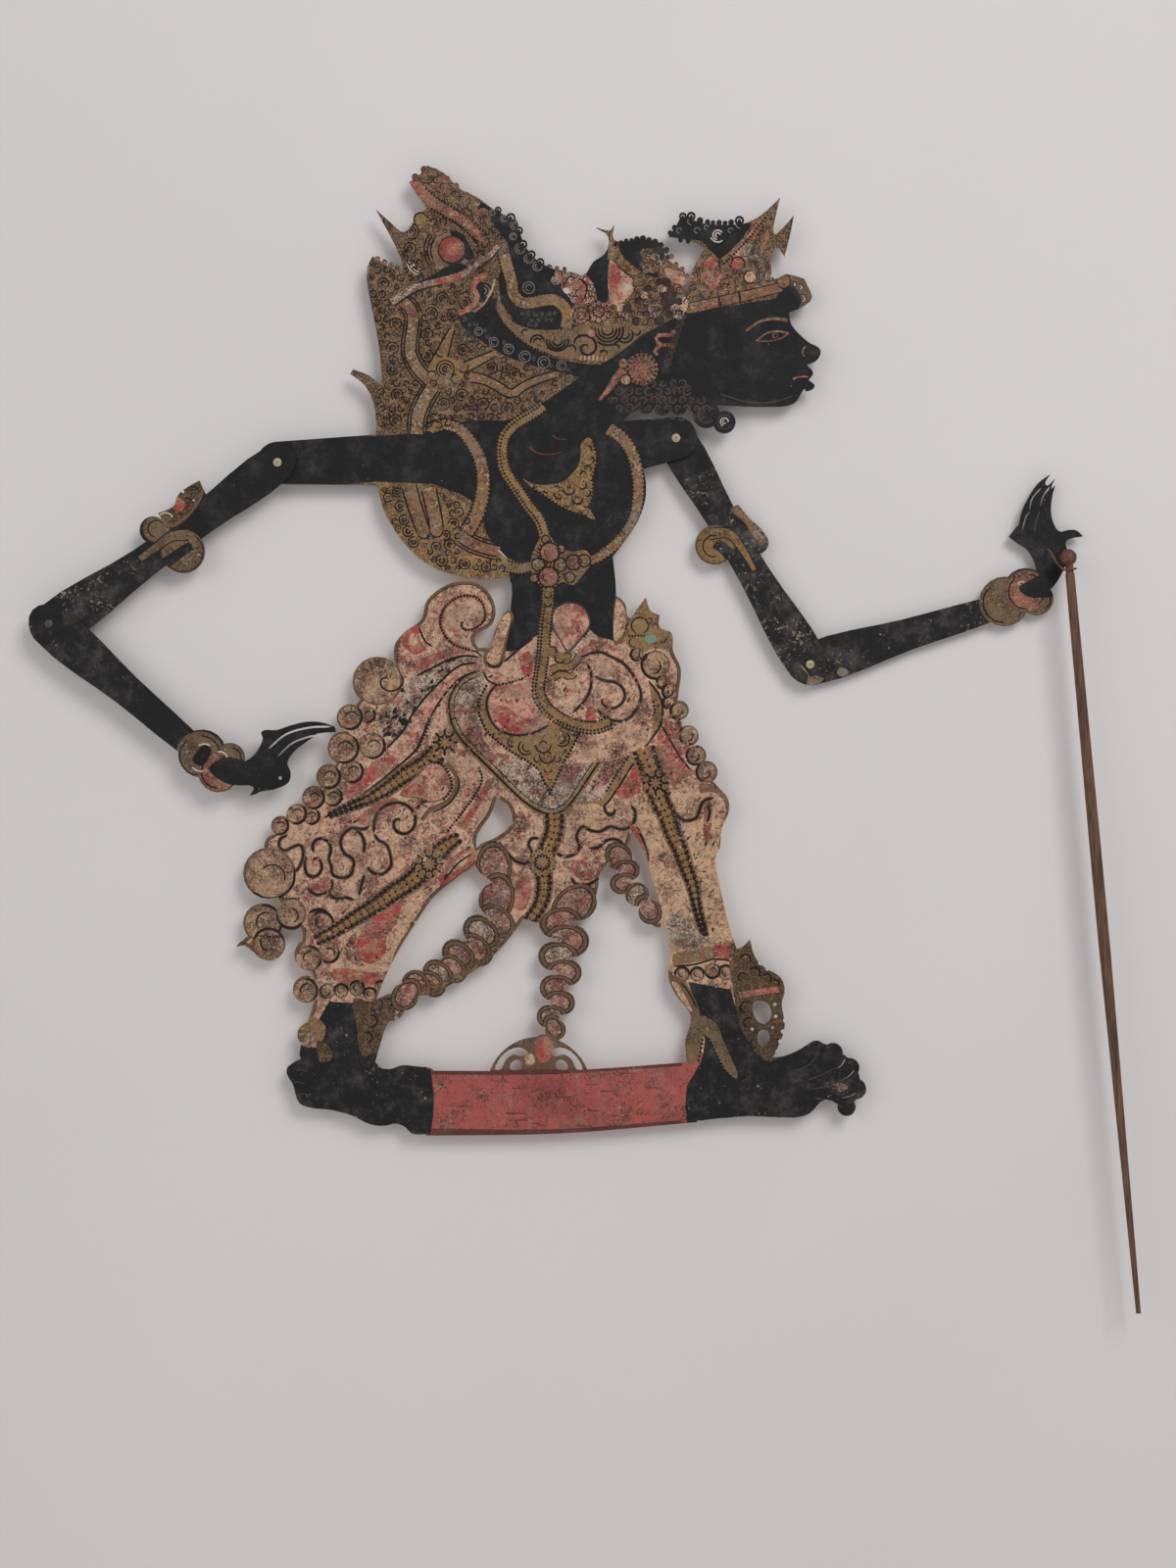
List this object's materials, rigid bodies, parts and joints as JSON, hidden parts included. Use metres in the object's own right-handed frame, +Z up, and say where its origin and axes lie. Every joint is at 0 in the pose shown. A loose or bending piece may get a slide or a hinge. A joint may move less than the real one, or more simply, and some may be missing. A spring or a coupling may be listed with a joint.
{
  "type": "shadow puppet",
  "caption": "Flat shadow puppet of cut and painted buffalo hide, a standing figure in court dress with jointed arms on bone pegs and a wooden control rod tied to one hand.",
  "frame": {"origin": "midpoint of the two chest holes, in the middle of the body's hide", "axes": "+Z up the standing figure, +X the way that the figure faces, +Y through the hide, away from the side that shows the rear arm on top"},
  "size_m": [0.7338, 0.0243, 0.7585],
  "materials": {
    "painted_hide": "rawhide painted on both faces in gold ochre, black, dusty pink and red, worn and flaked",
    "black_hide": "rawhide painted matt black on both faces, with chips along the edges",
    "bone": "polished bone, creamy, slightly yellowed",
    "horn": "dark polished horn",
    "rod_wood": "dark brown turned rod, waxed by handling",
    "tie_cord": "twisted cotton cord, light brown"
  },
  "bodies": {
    "figure": {"body": "painted_hide", "rear_shoulder_peg": "bone", "rear_shoulder_keeper": "bone", "front_shoulder_peg": "bone", "front_shoulder_keeper": "bone"},
    "rear_upper": {"rear_upper_arm": "black_hide", "rear_elbow_peg": "horn", "rear_elbow_keeper": "horn"},
    "rear_lower": {"rear_forearm": "black_hide"},
    "front_upper": {"front_upper_arm": "black_hide", "front_elbow_peg": "bone", "front_elbow_keeper": "bone"},
    "front_lower": {"front_forearm": "black_hide"},
    "tie": {"rod_tie": "tie_cord"},
    "rod": {"control_rod": "rod_wood"}
  },
  "joints": [
    {"name": "rear_shoulder", "type": "hinge", "parent": "figure", "child": "rear_upper", "pos_m": [-0.202, 0, 0.041], "axis": [0, -1, 0], "range_deg": [-90, 55]},
    {"name": "rear_elbow", "type": "hinge", "parent": "rear_upper", "child": "rear_lower", "pos_m": [-0.35299, 0, -0.0659], "axis": [0, -1, 0], "range_deg": [-105, 45]},
    {"name": "front_shoulder", "type": "hinge", "parent": "figure", "child": "front_upper", "pos_m": [0.062, 0, 0.0575], "axis": [0, -1, 0], "range_deg": [-10, 90]},
    {"name": "front_elbow", "type": "hinge", "parent": "front_upper", "child": "front_lower", "pos_m": [0.15109, 0, -0.09254], "axis": [0, -1, 0], "range_deg": [-65, 30]},
    {"name": "rod_swing", "type": "hinge", "parent": "front_lower", "child": "tie", "pos_m": [0.30916, 0, -0.01595], "axis": [0, -1, 0], "range_deg": [-45, 45]},
    {"name": "rod_tilt", "type": "hinge", "parent": "tie", "child": "rod", "pos_m": [0.32066, -0.00985, -0.03045], "axis": [-0.9957, 0, -0.0924], "range_deg": [0, 30]}
  ]
}
